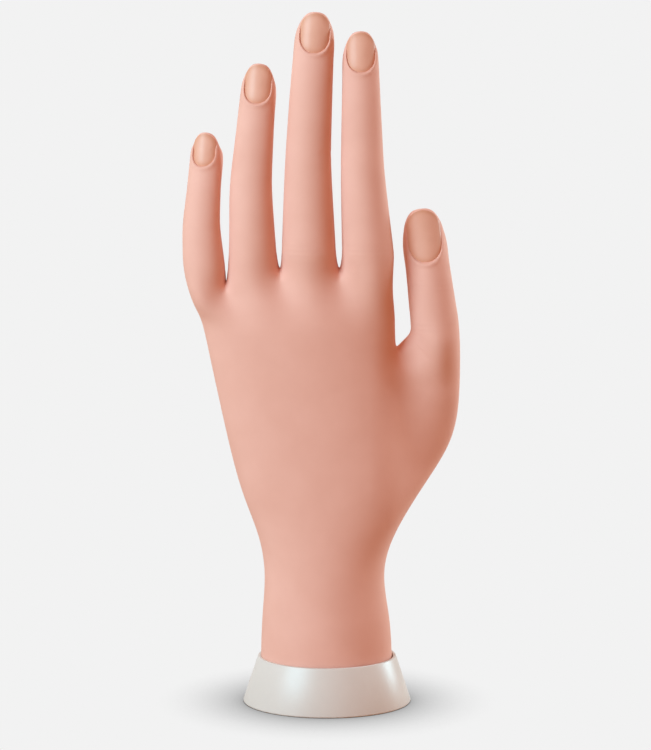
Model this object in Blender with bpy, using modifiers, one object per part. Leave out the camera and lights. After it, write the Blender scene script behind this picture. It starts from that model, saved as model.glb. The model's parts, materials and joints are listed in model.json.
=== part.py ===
"""Nail practice hand: a soft cast hand over a jointed skeleton, with slip-in nails, plugged onto an oval base.

Metres, +Z up. It is a left hand: its back faces -Y, its palm +Y and its thumb points along +X.
Heights and bone lengths in the hand are shares of its length, counted from the cut end of the wrist.
"""

import math

import bmesh
import bpy
from mathutils import Matrix, Vector

# Hand, from the cut end of the wrist to the tip of the middle finger
HAND_LENGTH = 0.2116

# Clearances
GAP = 0.0003
HINGE_GAP = 0.0004
SLIT = 0.0004
BEND_SPARE = 3.0

# Base
BASE_WIDTH = 0.0556
BASE_TOP_WIDTH = 0.0454
BASE_HEIGHT = 0.0154
BASE_ROUNDNESS = 0.87
SEAT_DEPTH = 0.0020
SPIGOT_RADIUS = 0.0092
SPIGOT_HEIGHT = 0.0250
SPIGOT_LEAD = 0.0012

# Wrist socket, with the tab that the palm plate is screwed to
SOCKET_WALL = 0.0024
SOCKET_ROOF = 0.0030
TAB_WIDTH = 0.0120
TAB_THICKNESS = 0.0042
TAB_HEIGHT = 0.0170
SCREW_RADIUS = 0.0014
SCREW_HEAD_RADIUS = 0.0026
SCREW_HEAD_HEIGHT = 0.0018
SCREW_SPACING = 0.0080

# Palm plate
PLATE_THICKNESS = 0.0050
PLATE_STEM_WIDTH = 0.0130
PLATE_CORNER = 0.0075
TOWER_HEIGHT = 0.0100
THUMB_ARM_DROP = 0.0330

# Bones and pins
PIN_RADIUS = 0.0008
NECK_SHARE = 0.70
SLOT_SHARE = 0.42
TIP_BONE_DROP = 0.0014

# Nails
NAIL_THICKNESS = 0.0008
NAIL_SINK = 0.0004
NAIL_TUCK = 0.0016
NAIL_ARCH = 0.68
NAIL_REACH = -0.0002
NAIL_LOW_ROUND = 1.15
NAIL_TIP_ROUND = 1.25

# Wrist and palm, level by level: height, edge on the little finger's side, edge on the thumb's side,
# depth of the back and depth of the palm side from the middle plane
PALM_LEVELS = (
    (0.0000, -0.0222, 0.0219, 0.0184, 0.0184),
    (0.0685, -0.0219, 0.0214, 0.0174, 0.0174),
    (0.1394, -0.0202, 0.0180, 0.0158, 0.0160),
    (0.2032, -0.0227, 0.0224, 0.0150, 0.0164),
    (0.2694, -0.0291, 0.0315, 0.0146, 0.0174),
    (0.3781, -0.0343, 0.0276, 0.0140, 0.0166),
    (0.4868, -0.0391, 0.0228, 0.0132, 0.0136),
    (0.5388, -0.0413, 0.0230, 0.0124, 0.0114),
)
THUMB_OPENING = 5
WRIST_LEVELS = 3
WRIST_SQUARENESS = 2.0
PALM_SQUARENESS = 2.1

# Webs between the fingers, from the little finger's side: place across the hand and height
WEBS = ((-0.0328, 0.5917), (-0.0152, 0.6153), (0.0040, 0.6153))
WEB_DEPTH = 0.0048
WEB_VALLEY = 0.0048
KNUCKLE_LEVEL = 0.5931

# Rings of the cast fingers
RING_SIDES = 8
ROOT_RING_RISE = 0.0036
DEPTH_AT_ROOT = 0.98
DEPTH_AT_TIP = 0.80


WRIST_Z = BASE_HEIGHT - SEAT_DEPTH + GAP


def at_height(share):
    """Height above the floor of a share of the hand's length."""
    return WRIST_Z + share * HAND_LENGTH


class Digit:
    """A finger or the thumb: where its joints lie, how wide its cast is there, its nail and its skeleton."""

    def __init__(self, name, bones, x, depth, height, lengths, curl, sway, widths,
                 nail_width, nail_length, nail_roll, ear, bone_width, bends):
        self.name = name
        self.bones = bones
        self.widths = widths
        self.nail_width = nail_width
        self.nail_length = nail_length
        self.nail_roll = math.radians(nail_roll)
        self.ear = ear
        self.bone_width = bone_width
        self.bends = bends
        shares = [height + sum(lengths[:i]) for i in range(len(lengths) + 1)]
        self.joints = [Vector((x, depth + c, at_height(share))) for c, share in zip(curl, shares)]
        self.centres = [j + Vector((s, 0.0, 0.0)) for j, s in zip(self.joints, sway)]
        self.tip = self.centres[-1]
        self.last = self.centres[-2]
        self.along = (self.tip - self.last).normalized()

    def spread(self, height):
        """Middle and half width of the cast finger at a height."""
        stops = [c.z for c in self.centres[:-1]] + [self.nail_middle().z, self.tip.z]
        halves = [w / 2 for w in self.widths] + [self.widths[-1] / 2]
        middles = self.centres[:-1] + [self.nail_middle(), self.tip]
        k = 0
        while k < len(stops) - 2 and height > stops[k + 1]:
            k += 1
        share = (height - stops[k]) / (stops[k + 1] - stops[k])
        return middles[k].lerp(middles[k + 1], share), halves[k] + (halves[k + 1] - halves[k]) * share

    def nail_middle(self):
        return self.tip - self.along * self.nail_length * 0.5

    def axes(self, along):
        """Sideways and back-of-hand directions of a section across a direction, turned to the nail's roll."""
        side = Vector((along.z, 0.0, -along.x)).normalized()
        back = side.cross(along).normalized()
        turn = Matrix.Rotation(-self.nail_roll, 3, along)
        return turn @ side, turn @ back


FINGER_BONES = ("root", "mid", "tip")
FINGER_BENDS = ((-10.0, 60.0), (0.0, 70.0), (0.0, 45.0))
FINGER_DEPTH = -0.0022
FINGER_CURL = (0.0, 0.0004, 0.0022, 0.0062)

LITTLE = Digit(
    "little_finger", FINGER_BONES, x=-0.0402, depth=FINGER_DEPTH, height=0.6144, lengths=(0.0662, 0.0539, 0.0846),
    curl=FINGER_CURL, sway=(0.0005, -0.0005, 0.0004, 0.0016), widths=(0.0130, 0.0121, 0.0110, 0.0103),
    nail_width=0.0074, nail_length=0.0108, nail_roll=14.0, ear=0.0022, bone_width=0.0054, bends=FINGER_BENDS)
RING = Digit(
    "ring_finger", FINGER_BONES, x=-0.0241, depth=FINGER_DEPTH, height=0.6404, lengths=(0.1007, 0.0832, 0.1001),
    curl=FINGER_CURL, sway=(0.0001, -0.0006, 0.0009, 0.0026), widths=(0.0152, 0.0136, 0.0121, 0.0112),
    nail_width=0.0086, nail_length=0.0127, nail_roll=5.0, ear=0.0025, bone_width=0.0060, bends=FINGER_BENDS)
MIDDLE = Digit(
    "middle_finger", FINGER_BONES, x=-0.0056, depth=FINGER_DEPTH, height=0.6474, lengths=(0.1323, 0.1125, 0.1078),
    curl=FINGER_CURL, sway=(-0.0003, -0.0006, 0.0006, 0.0021), widths=(0.0174, 0.0147, 0.0136, 0.0126),
    nail_width=0.0096, nail_length=0.0128, nail_roll=0.0, ear=0.0027, bone_width=0.0066, bends=FINGER_BENDS)
INDEX = Digit(
    "index_finger", FINGER_BONES, x=0.0117, depth=FINGER_DEPTH, height=0.6474, lengths=(0.1158, 0.1030, 0.1073),
    curl=FINGER_CURL, sway=(0.0014, -0.0003, -0.0007, -0.0010), widths=(0.0166, 0.0140, 0.0125, 0.0114),
    nail_width=0.0092, nail_length=0.0130, nail_roll=-2.0, ear=0.0026, bone_width=0.0064, bends=FINGER_BENDS)
THUMB = Digit(
    "thumb", ("root", "tip"), x=0.0335, depth=0.0040, height=0.5222, lengths=(0.0605, 0.1200),
    curl=(0.0, 0.0006, 0.0040), sway=(0.0018, 0.0001, -0.0030), widths=(0.0160, 0.0148, 0.0137),
    nail_width=0.0108, nail_length=0.0172, nail_roll=0.0, ear=0.0028, bone_width=0.0070,
    bends=((-5.0, 40.0), (0.0, 50.0)))
FINGERS = (LITTLE, RING, MIDDLE, INDEX)
DIGITS = FINGERS + (THUMB,)

# Rings of the ball of the thumb: middle, lean towards the thumb's side in degrees, half width, half depth,
# how far the back sinks between the thumb and the palm, and how far the web is filled, across and up
THENAR_RINGS = (
    (Vector((0.0327, 0.0040, at_height(0.4135))), 60.0, 0.0184, 0.0096, 0.0024, (0.0, 0.0022)),
    (Vector((0.0366, 0.0040, at_height(0.4641))), 52.0, 0.0118, 0.0090, 0.0026, (-0.0032, 0.0010)),
)

# Materials: colour, roughness and metallic value
SKIN_LOOK = ((0.83, 0.50, 0.41), 0.50, 0.0)
NAIL_LOOK = ((0.78, 0.43, 0.31), 0.32, 0.0)
BASE_LOOK = ((0.80, 0.76, 0.71), 0.30, 0.0)
BONE_LOOK = ((0.88, 0.86, 0.80), 0.45, 0.0)
STEEL_LOOK = ((0.62, 0.62, 0.64), 0.30, 1.0)

SIDE_PLANE = Matrix(((0, 0, 1), (1, 0, 0), (0, 1, 0))).to_4x4()
FRONT_PLANE = Matrix(((1, 0, 0), (0, 0, -1), (0, 1, 0))).to_4x4()
UP = Vector((0.0, 0.0, 1.0))


# Scene helpers

for old in list(bpy.data.objects):
    bpy.data.objects.remove(old, do_unlink=True)

PARTS = bpy.data.collections.new("nail_practice_hand")
TOOLS = bpy.data.collections.new("cutters")
bpy.context.scene.collection.children.link(PARTS)
bpy.context.scene.collection.children.link(TOOLS)


def material(name, look):
    colour, roughness, metallic = look
    made = bpy.data.materials.new(name)
    made.use_nodes = True
    shader = made.node_tree.nodes["Principled BSDF"]
    shader.inputs["Base Color"].default_value = (*colour, 1.0)
    shader.inputs["Roughness"].default_value = roughness
    shader.inputs["Metallic"].default_value = metallic
    return made


def from_bmesh(name, bm):
    bmesh.ops.recalc_face_normals(bm, faces=bm.faces)
    mesh = bpy.data.meshes.new(name)
    bm.to_mesh(mesh)
    bm.free()
    made = bpy.data.objects.new(name, mesh)
    TOOLS.objects.link(made)
    return made


def box(name, size, centre, turn=Matrix.Identity(4)):
    bm = bmesh.new()
    bmesh.ops.create_cube(bm, size=1.0, matrix=Matrix.Translation(centre) @ turn @ Matrix.Diagonal((*size, 1.0)))
    return from_bmesh(name, bm)


def cylinder(name, radius, length, centre, axis, top_radius=None, sides=16, squeeze=1.0):
    """A cylinder or cone about an axis through its middle, squeezed along Y into an oval if asked."""
    bm = bmesh.new()
    turn = UP.rotation_difference(Vector(axis)).to_matrix().to_4x4()
    place = Matrix.Translation(centre) @ Matrix.Diagonal((1.0, squeeze, 1.0, 1.0)) @ turn
    end_radius = radius if top_radius is None else top_radius
    bmesh.ops.create_cone(bm, cap_ends=True, segments=sides, radius1=radius, radius2=end_radius,
                          depth=length, matrix=place)
    return from_bmesh(name, bm)


def outline_solid(name, points, half_thickness, plane, centre, offset=0.0):
    """A flat outline drawn in a plane, thickened both ways."""
    curve = bpy.data.curves.new(name, "CURVE")
    curve.dimensions = "2D"
    curve.fill_mode = "BOTH"
    curve.extrude = half_thickness
    curve.offset = offset
    spline = curve.splines.new("POLY")
    spline.points.add(len(points) - 1)
    for point, (a, b) in zip(spline.points, points):
        point.co = (a, b, 0.0, 1.0)
    spline.use_cyclic_u = True
    drawn = bpy.data.objects.new(name, curve)
    TOOLS.objects.link(drawn)
    drawn.matrix_world = Matrix.Translation(centre) @ plane
    bpy.context.view_layer.update()
    mesh = bpy.data.meshes.new_from_object(drawn.evaluated_get(bpy.context.evaluated_depsgraph_get()))
    bm = bmesh.new()
    bm.from_mesh(mesh)
    bmesh.ops.remove_doubles(bm, verts=bm.verts, dist=1e-6)
    bmesh.ops.transform(bm, matrix=drawn.matrix_world, verts=bm.verts)
    bpy.data.objects.remove(drawn, do_unlink=True)
    return from_bmesh(name, bm)


def settle(obj):
    """Replaces an object's mesh by what its modifiers make of it."""
    bpy.context.view_layer.update()
    obj.data = bpy.data.meshes.new_from_object(obj.evaluated_get(bpy.context.evaluated_depsgraph_get()))
    obj.modifiers.clear()
    return obj


def combine(obj, tools, operation):
    """Joins the tools to an object, or cuts them out of it, and removes them."""
    group = bpy.data.collections.new("operands")
    bpy.context.scene.collection.children.link(group)
    for tool in tools:
        group.objects.link(tool)
    step = obj.modifiers.new(operation.lower(), "BOOLEAN")
    step.operation = operation
    step.solver = "EXACT"
    step.operand_type = "COLLECTION"
    step.collection = group
    settle(obj)
    for tool in tools:
        bpy.data.objects.remove(tool, do_unlink=True)
    bpy.data.collections.remove(group)
    return obj


def finish(obj, look, seat):
    """Makes an object a part: gives it its own material and hangs it on the empty that carries it."""
    obj.data.materials.clear()
    obj.data.materials.append(material(obj.name, look))
    obj.data.transform(seat.matrix_world.inverted())
    obj.data.shade_smooth()
    obj.data.set_sharp_from_angle(angle=math.radians(40.0))
    TOOLS.objects.unlink(obj)
    PARTS.objects.link(obj)
    obj.parent = seat
    return obj


def empty(name, place, parent=None):
    """An empty on a joint's axis, carried by another empty."""
    made = bpy.data.objects.new(name, None)
    made.empty_display_size = 0.004
    PARTS.objects.link(made)
    made.parent = parent
    carried_at = parent.matrix_world.translation if parent else Vector()
    made.location = Vector(place) - carried_at
    bpy.context.view_layer.update()
    return made


# Form of the cast hand

def place_loop(loop, points):
    for vert, point in zip(loop, points):
        vert.co = point


def grow(bm, loop, points):
    """Extrudes a closed loop of vertices to new places and returns the new loop in the same order."""
    edges = [bm.edges.get((a, b)) for a, b in zip(loop, loop[1:] + loop[:1])]
    made = bmesh.ops.extrude_edge_only(bm, edges=edges)["geom"]
    fresh = {v for v in made if isinstance(v, bmesh.types.BMVert)}
    new_loop = [next(e.other_vert(v) for e in v.link_edges if e.other_vert(v) in fresh) for v in loop]
    place_loop(new_loop, points)
    return new_loop


def lane_shares():
    """Shares of the palm's width at which the knuckle and web columns run down to the wrist."""
    left = LITTLE.centres[0].x - LITTLE.widths[0] / 2
    right = INDEX.centres[0].x + INDEX.widths[0] / 2
    lanes = [LITTLE.centres[0].x - LITTLE.widths[0] * 0.36]
    for finger, web in zip(FINGERS, WEBS + (None,)):
        lanes.append(finger.centres[0].x)
        lanes.append(web[0] if web else finger.centres[0].x + finger.widths[0] * 0.36)
    return [(x - left) / (right - left) for x in lanes]


def level_points(level):
    """A section of the palm: edge, nine points along the back, other edge, nine points along the palm side."""
    share, left, right, back, front = level
    z = at_height(share)
    xs = [left + (right - left) * lane for lane in lane_shares()]
    power = WRIST_SQUARENESS if level in PALM_LEVELS[:WRIST_LEVELS] else PALM_SQUARENESS
    bulge = [(1 - abs(2 * s - 1) ** power) ** (1 / power) for s in lane_shares()]
    backs = [Vector((x, -back * b, z)) for x, b in zip(xs, bulge)]
    fronts = [Vector((x, front * b, z)) for x, b in zip(xs, bulge)]
    return [Vector((left, 0.0, z))] + backs + [Vector((right, 0.0, z))] + fronts[::-1]


def knuckle_points():
    """The loop at the finger roots, which dips into a valley at each web."""
    z = at_height(KNUCKLE_LEVEL)
    backs = []
    fronts = []
    for finger, web in zip(FINGERS, WEBS + (None,)):
        half = finger.widths[0] / 2
        rise = z + finger.joints[0].z - MIDDLE.joints[0].z
        middle = Vector((finger.centres[0].x, finger.centres[0].y, rise))
        if finger is LITTLE:
            backs.append(middle + Vector((-half * 0.40, -half * 0.84, -0.001)))
            fronts.append(middle + Vector((-half * 0.40, half * 0.84, -0.001)))
            left = middle + Vector((-half * 0.60, 0.0, 0.0))
        backs.append(middle + Vector((0.0, -half * 1.10, 0.001)))
        fronts.append(middle + Vector((0.0, half * 1.10, 0.001)))
        if web:
            dip = at_height(web[1]) - WEB_VALLEY
            backs.append(Vector((web[0], -WEB_DEPTH, dip)))
            fronts.append(Vector((web[0], WEB_DEPTH, dip)))
        else:
            backs.append(middle + Vector((half * 0.72, -half * 0.80, -0.002)))
            fronts.append(middle + Vector((half * 0.72, half * 0.80, -0.002)))
            right = middle + Vector((half * 1.06, 0.0, -0.002))
    return [left] + backs + [right] + fronts[::-1]


def ring_points(middle, side, back, half_width, half_depth):
    """A section across a finger, starting on its left and going over its back."""
    swell = 3.0 / (2.0 + math.cos(2.0 * math.pi / RING_SIDES))
    points = []
    for k in range(RING_SIDES):
        angle = math.pi - 2.0 * math.pi * k / RING_SIDES
        across = side * (half_width * math.cos(angle))
        through = back * (half_depth * math.sin(angle))
        points.append(middle + (across + through) * swell)
    return points


def finger_rings(digit, first):
    """Sections of a finger from a first height up to its rounded tip."""
    joints = digit.centres[:-1]
    heights = [first]
    if joints[0].z - first > 0.003:
        heights.append(joints[0].z)
    for low, high in zip(joints, joints[1:]):
        heights += [(low.z + high.z) / 2, high.z]
    cuticle = digit.tip - digit.along * digit.nail_length
    heights += [cuticle.z - 0.0010, digit.nail_middle().z]
    rings = []
    for z in heights:
        middle, half = digit.spread(z)
        share = max(0.0, min(1.0, (z - joints[0].z) / (cuticle.z - joints[0].z)))
        depth = half * (DEPTH_AT_ROOT + (DEPTH_AT_TIP - DEPTH_AT_ROOT) * share)
        along = digit.along if z >= digit.last.z else UP
        side, back = digit.axes(along)
        rings.append(ring_points(middle, side, back, half, depth))
    side, back = digit.axes(digit.along)
    for below, width_share, depth_share in ((0.0044, 0.90, 0.84), (0.0001, 0.62, 0.52)):
        lift = back * (depth * (1.0 - depth_share) * 0.80)
        middle = digit.tip - digit.along * below + lift
        rings.append(ring_points(middle, side, back, half * width_share, depth * depth_share))
    return rings


def hand_cage():
    """The whole cast hand as one coarse closed cage."""
    bm = bmesh.new()
    loop = list(bmesh.ops.create_circle(bm, cap_ends=False, segments=20, radius=0.02)["verts"])
    place_loop(loop, level_points(PALM_LEVELS[0]))
    levels = [loop]
    for level in PALM_LEVELS[1:]:
        levels.append(grow(bm, levels[-1], level_points(level)))
    top = grow(bm, levels[-1], knuckle_points())

    mids = [top[0]]
    for i, (x, share) in enumerate(WEBS):
        mid = bm.verts.new((x, 0.0, at_height(share)))
        bm.edges.new((top[3 + 2 * i], mid))
        bm.edges.new((mid, top[17 - 2 * i]))
        mids.append(mid)
    mids.append(top[10])
    ends = []
    for i, finger in enumerate(FINGERS):
        web_tops = [at_height(share) for x, share in WEBS[max(0, i - 1):i + 1]]
        over_back = top[1 + 2 * i:4 + 2 * i]
        over_palm = [top[17 - 2 * i + k] for k in range(3)]
        ring = [mids[i]] + over_back + [mids[i + 1]] + over_palm
        for points in finger_rings(finger, max(web_tops) + ROOT_RING_RISE):
            ring = grow(bm, ring, points)
        ends.append(ring)

    low, mid, high = levels[THUMB_OPENING - 1:THUMB_OPENING + 2]
    ring = [high[10], high[9], mid[9], low[9], low[10], low[11], mid[11], high[11]]
    bmesh.ops.delete(bm, geom=[mid[10]], context="VERTS")
    for middle, lean, half_width, half_depth, dip, fill in THENAR_RINGS:
        along = Vector((math.sin(math.radians(lean)), 0.0, math.cos(math.radians(lean))))
        side, back = THUMB.axes(along)
        points = ring_points(middle, side, back, half_width, half_depth)
        points[0] += Vector((fill[0], 0.0, fill[1]))
        points[1] -= back * dip
        ring = grow(bm, ring, points)
    for points in finger_rings(THUMB, THUMB.centres[0].z):
        ring = grow(bm, ring, points)
    ends.append(ring)

    for ring in ends:
        bm.faces.new(ring)
    bm.faces.new(levels[0])
    crease = bm.edges.layers.float.new("crease_edge")
    for a, b in zip(levels[0], levels[0][1:] + levels[0][:1]):
        bm.edges.get((a, b))[crease] = 1.0
    cast = from_bmesh("cast_hand", bm)
    soften = cast.modifiers.new("soften", "SUBSURF")
    soften.levels = 1
    soften.render_levels = 1
    return settle(cast)


# Skeleton

def bone_outline(start, end, ear_start, ear_end, neck):
    """Side view of a bone as (y, z) points: a bar with a round ear at each end."""
    run = Vector((end.y - start.y, end.z - start.z))
    heading = math.atan2(run.y, run.x)
    points = []
    for middle, ear, facing in ((start, ear_start, heading + math.pi), (end, ear_end, heading)):
        open_angle = math.asin(min(1.0, neck / ear))
        for k in range(9):
            angle = facing - (math.pi - open_angle) * (1.0 - k / 4)
            points.append((middle.y + ear * math.cos(angle), middle.z + ear * math.sin(angle)))
    return points


def bone_ends(digit, k):
    """Both ends of a bone and their ear radii; the last bone ends round, under the nail."""
    start = digit.joints[k]
    if k + 1 < len(digit.bones):
        return start, digit.joints[k + 1], digit.ear, digit.ear
    nail_start = digit.tip.z - digit.nail_length
    end = start + digit.along * (nail_start - start.z + digit.nail_length * 0.30)
    end += Vector((start.x - end.x, TIP_BONE_DROP, 0.0))
    return start, end, digit.ear, digit.ear * NECK_SHARE


def bone_blank(name, digit, k, clear=0.0):
    start, end, ear_start, ear_end = bone_ends(digit, k)
    neck = digit.ear * NECK_SHARE * 0.999
    outline = bone_outline(start, end, ear_start + clear, ear_end + clear, neck + clear)
    return outline_solid(name, outline, digit.bone_width / 2 + clear, SIDE_PLANE, (start.x, 0.0, 0.0))


def slot_width(digit):
    return digit.bone_width * SLOT_SHARE


def pin_hole(digit, k):
    return cylinder("hole", PIN_RADIUS + GAP, digit.bone_width * 2, digit.joints[k], (1, 0, 0), sides=10)


def fork_slot(digit, k):
    return cylinder("slot", digit.ear + HINGE_GAP, slot_width(digit), digit.joints[k], (1, 0, 0))


def tongue_cheeks(digit, k):
    """Two round cuts that leave a tongue between the ears of the next fork."""
    inner = slot_width(digit) / 2 - GAP
    wide = digit.bone_width
    cuts = []
    for way in (-1.0, 1.0):
        centre = digit.joints[k] + Vector((way * (inner + wide / 2), 0.0, 0.0))
        cuts.append(cylinder("cheek", digit.ear + HINGE_GAP, wide, centre, (1, 0, 0)))
    return cuts


def bone(digit, k):
    made = bone_blank(f"{digit.name}_{digit.bones[k]}_bone", digit, k)
    cuts = tongue_cheeks(digit, k) + [pin_hole(digit, k)]
    if k + 1 < len(digit.bones):
        cuts += [fork_slot(digit, k + 1), pin_hole(digit, k + 1)]
    return combine(made, cuts, "DIFFERENCE")


def pin(digit, k):
    name = f"{digit.name}_{digit.bones[k]}_pin"
    return cylinder(name, PIN_RADIUS, digit.bone_width, digit.joints[k], (1, 0, 0), sides=10)


def tower(digit, clear=0.0):
    """The fork that stands on the palm plate and carries a finger's root joint."""
    end = digit.joints[0]
    start = end - UP * TOWER_HEIGHT
    neck = digit.ear * NECK_SHARE
    outline = bone_outline(start, end, neck * 1.001 + clear, digit.ear + clear, neck + clear)
    return outline_solid("tower", outline, digit.bone_width / 2 + clear, SIDE_PLANE, (end.x, 0.0, 0.0))


SOCKET_INNER = SPIGOT_RADIUS + GAP
SOCKET_OUTER = SOCKET_INNER + SOCKET_WALL
SOCKET_TOP = WRIST_Z + SPIGOT_HEIGHT + GAP + SOCKET_ROOF
TAB_Y = PLATE_THICKNESS / 2 + GAP + TAB_THICKNESS / 2
SCREW_HEIGHTS = [SOCKET_TOP + TAB_HEIGHT * 0.55 + way * SCREW_SPACING / 2 for way in (-1.0, 1.0)]


def plate_outline():
    """Front view of the palm plate: a stem that fans out to the feet of the knuckle towers."""
    left = LITTLE.joints[0].x - LITTLE.bone_width / 2
    right = INDEX.joints[0].x + INDEX.bone_width / 2
    stem = PLATE_STEM_WIDTH / 2
    foot = SOCKET_TOP + GAP
    shoulder = foot + TAB_HEIGHT + 0.004
    tops = []
    for finger in FINGERS:
        half = finger.bone_width / 2
        top = finger.joints[0].z - TOWER_HEIGHT + finger.ear
        tops.append((finger.joints[0].x - half, top))
        tops.append((finger.joints[0].x + half, top))
    waist = left * 0.62, (shoulder + tops[0][1]) / 2
    arm = right, THUMB.joints[0].z - THUMB_ARM_DROP - 0.012
    corner = left + PLATE_CORNER, tops[0][1] - PLATE_CORNER
    return [(-stem, foot), (stem, foot), (stem, shoulder), arm] + tops[::-1] + [corner, waist, (-stem, shoulder)]


def thumb_arm(clear=0.0):
    """The bar that carries the thumb's fork out from the plate."""
    top = THUMB.joints[0] - UP * (TOWER_HEIGHT - THUMB.ear)
    foot = Vector((INDEX.joints[0].x, 0.0, THUMB.joints[0].z - THUMB_ARM_DROP))
    run = top - foot
    turn = UP.rotation_difference(run).to_matrix().to_4x4()
    size = (THUMB.bone_width + 2 * clear, THUMB.bone_width * 0.8 + 2 * clear, run.length + 0.004 + 2 * clear)
    return box("thumb_arm", size, (top + foot) / 2, turn)


def plate_blank(clear=0.0):
    half = PLATE_THICKNESS / 2 + clear
    made = outline_solid("palm_plate", plate_outline(), half, FRONT_PLANE, (0.0, 0.0, 0.0), offset=clear)
    return combine(made, [tower(d, clear) for d in DIGITS] + [thumb_arm(clear)], "UNION")


def screw_hole(height, radius):
    return cylinder("screw_hole", radius, 0.05, (0.0, 0.0, height), (0, 1, 0), sides=16)


def palm_plate():
    made = plate_blank()
    cuts = [screw_hole(h, SCREW_RADIUS + GAP) for h in SCREW_HEIGHTS]
    for digit in DIGITS:
        cuts += [fork_slot(digit, 0), pin_hole(digit, 0)]
    return combine(made, cuts, "DIFFERENCE")


def socket_tab(clear=0.0):
    size = (TAB_WIDTH + 2 * clear, TAB_THICKNESS + 2 * clear, TAB_HEIGHT + SOCKET_ROOF + clear)
    return box("tab", size, (0.0, TAB_Y, SOCKET_TOP + (TAB_HEIGHT - SOCKET_ROOF + clear) / 2))


def socket_blank(clear=0.0):
    low = WRIST_Z - clear * 10
    length = SOCKET_TOP + clear - low
    return cylinder("wrist_socket", SOCKET_OUTER + clear, length, (0.0, 0.0, low + length / 2), UP, sides=32)


def wrist_socket():
    made = combine(socket_blank(), [socket_tab()], "UNION")
    depth = SPIGOT_HEIGHT + GAP
    bore = cylinder("bore", SOCKET_INNER, depth * 2, (0.0, 0.0, WRIST_Z), UP, sides=32)
    cuts = [screw_hole(h, SCREW_RADIUS + GAP) for h in SCREW_HEIGHTS]
    return combine(made, [bore] + cuts, "DIFFERENCE")


def plate_screws(clear=0.0):
    """Two alike screws from the back of the hand through the plate into the tab, the lower one first."""
    front = -PLATE_THICKNESS / 2 - GAP
    back = TAB_Y + TAB_THICKNESS / 2
    shank = back - front
    screws = []
    for name, height in zip(("lower_plate_screw", "upper_plate_screw"), SCREW_HEIGHTS):
        head = cylinder(name, SCREW_HEAD_RADIUS + clear, SCREW_HEAD_HEIGHT + 2 * clear,
                        (0.0, front - SCREW_HEAD_HEIGHT / 2, height), (0, 1, 0), sides=16)
        rod = cylinder("rod", SCREW_RADIUS, shank + 0.001, (0.0, (front + back - 0.001) / 2, height),
                       (0, 1, 0), sides=16)
        screws.append(combine(head, [rod], "UNION"))
    return screws


# Nails and the pockets that they slip into

def nail_sheet(name, digit, half_width, start, end, low, high, tip_round):
    """A sheet arched across a fingertip between two levels, measured from its joint along the finger.

    Its lower end is always round; its upper end is round or square.
    """
    side, back = digit.axes(digit.along)
    arch = digit.nail_width * NAIL_ARCH
    crest = digit.widths[-1] / 2 * DEPTH_AT_TIP - NAIL_SINK
    bm = bmesh.new()
    bmesh.ops.create_grid(bm, x_segments=8, y_segments=9, size=1.0)
    for vert in bm.verts:
        share = (vert.co.y + 1.0) / 2.0
        ease = (1.0 - math.cos(share * math.pi)) / 2 if tip_round else share ** 2
        along = start + (end - start) * ease
        from_ends = [(along - start) / (half_width * NAIL_LOW_ROUND)]
        if tip_round:
            from_ends.append((end - along) / (half_width * NAIL_TIP_ROUND))
        round_in = min(1.0, min(from_ends))
        half = half_width * (0.28 + 0.72 * math.sqrt(max(0.0, 1.0 - (1.0 - round_in) ** 2)))
        across = vert.co.x * half
        lift = crest - arch + math.sqrt(arch ** 2 - across ** 2)
        vert.co = digit.last + digit.along * along + side * across + back * lift
    sheet = from_bmesh(name, bm)
    if (sheet.data.polygons[0].normal).dot(back) < 0:
        sheet.data.flip_normals()
    thicken = sheet.modifiers.new("thicken", "SOLIDIFY")
    thicken.thickness = high - low
    thicken.offset = (high + low) / (high - low)
    thicken.use_even_offset = True
    return settle(sheet)


def nail_span(digit):
    """Where the visible nail starts and the nail ends, from the last joint along the finger."""
    reach = (digit.tip - digit.last).length
    return reach - digit.nail_length, reach + NAIL_REACH


def nail(digit):
    start, end = nail_span(digit)
    return nail_sheet(f"{digit.name}_nail", digit, digit.nail_width / 2, start - NAIL_TUCK, end,
                      -NAIL_THICKNESS, 0.0, tip_round=True)


def nail_pocket(digit):
    """The slot under the cuticle and the open window above the nail."""
    start, end = nail_span(digit)
    half = digit.nail_width / 2 + GAP
    slot = nail_sheet("nail_slot", digit, half, start - NAIL_TUCK - GAP, end + 0.02,
                      -NAIL_THICKNESS - GAP, GAP, tip_round=False)
    window = nail_sheet("nail_window", digit, half, start, end + 0.02,
                        -NAIL_THICKNESS / 2, 0.006, tip_round=False)
    return [slot, window]


# Cutting the cast into the lengths that the joints part

def bend_notch(digit, k):
    """The slit and the wedge on the palm side that let the cast bend at a joint."""
    back_bend, palm_bend = digit.bends[k]
    reach = digit.widths[0]
    joint = digit.joints[k]
    half_slit = SLIT / 2
    palm_open = half_slit + reach * math.tan(math.radians((palm_bend + BEND_SPARE) / 2))
    back_open = half_slit + reach * math.tan(math.radians(-back_bend / 2))
    outline = [(-reach, -back_open), (0.0, -half_slit), (reach, -palm_open),
               (reach, palm_open), (0.0, half_slit), (-reach, back_open)]
    middle = digit.centres[k]
    half = digit.widths[k] / 2 + 0.0011
    return outline_solid("notch", outline, half, SIDE_PLANE, (middle.x, joint.y, joint.z))


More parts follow.
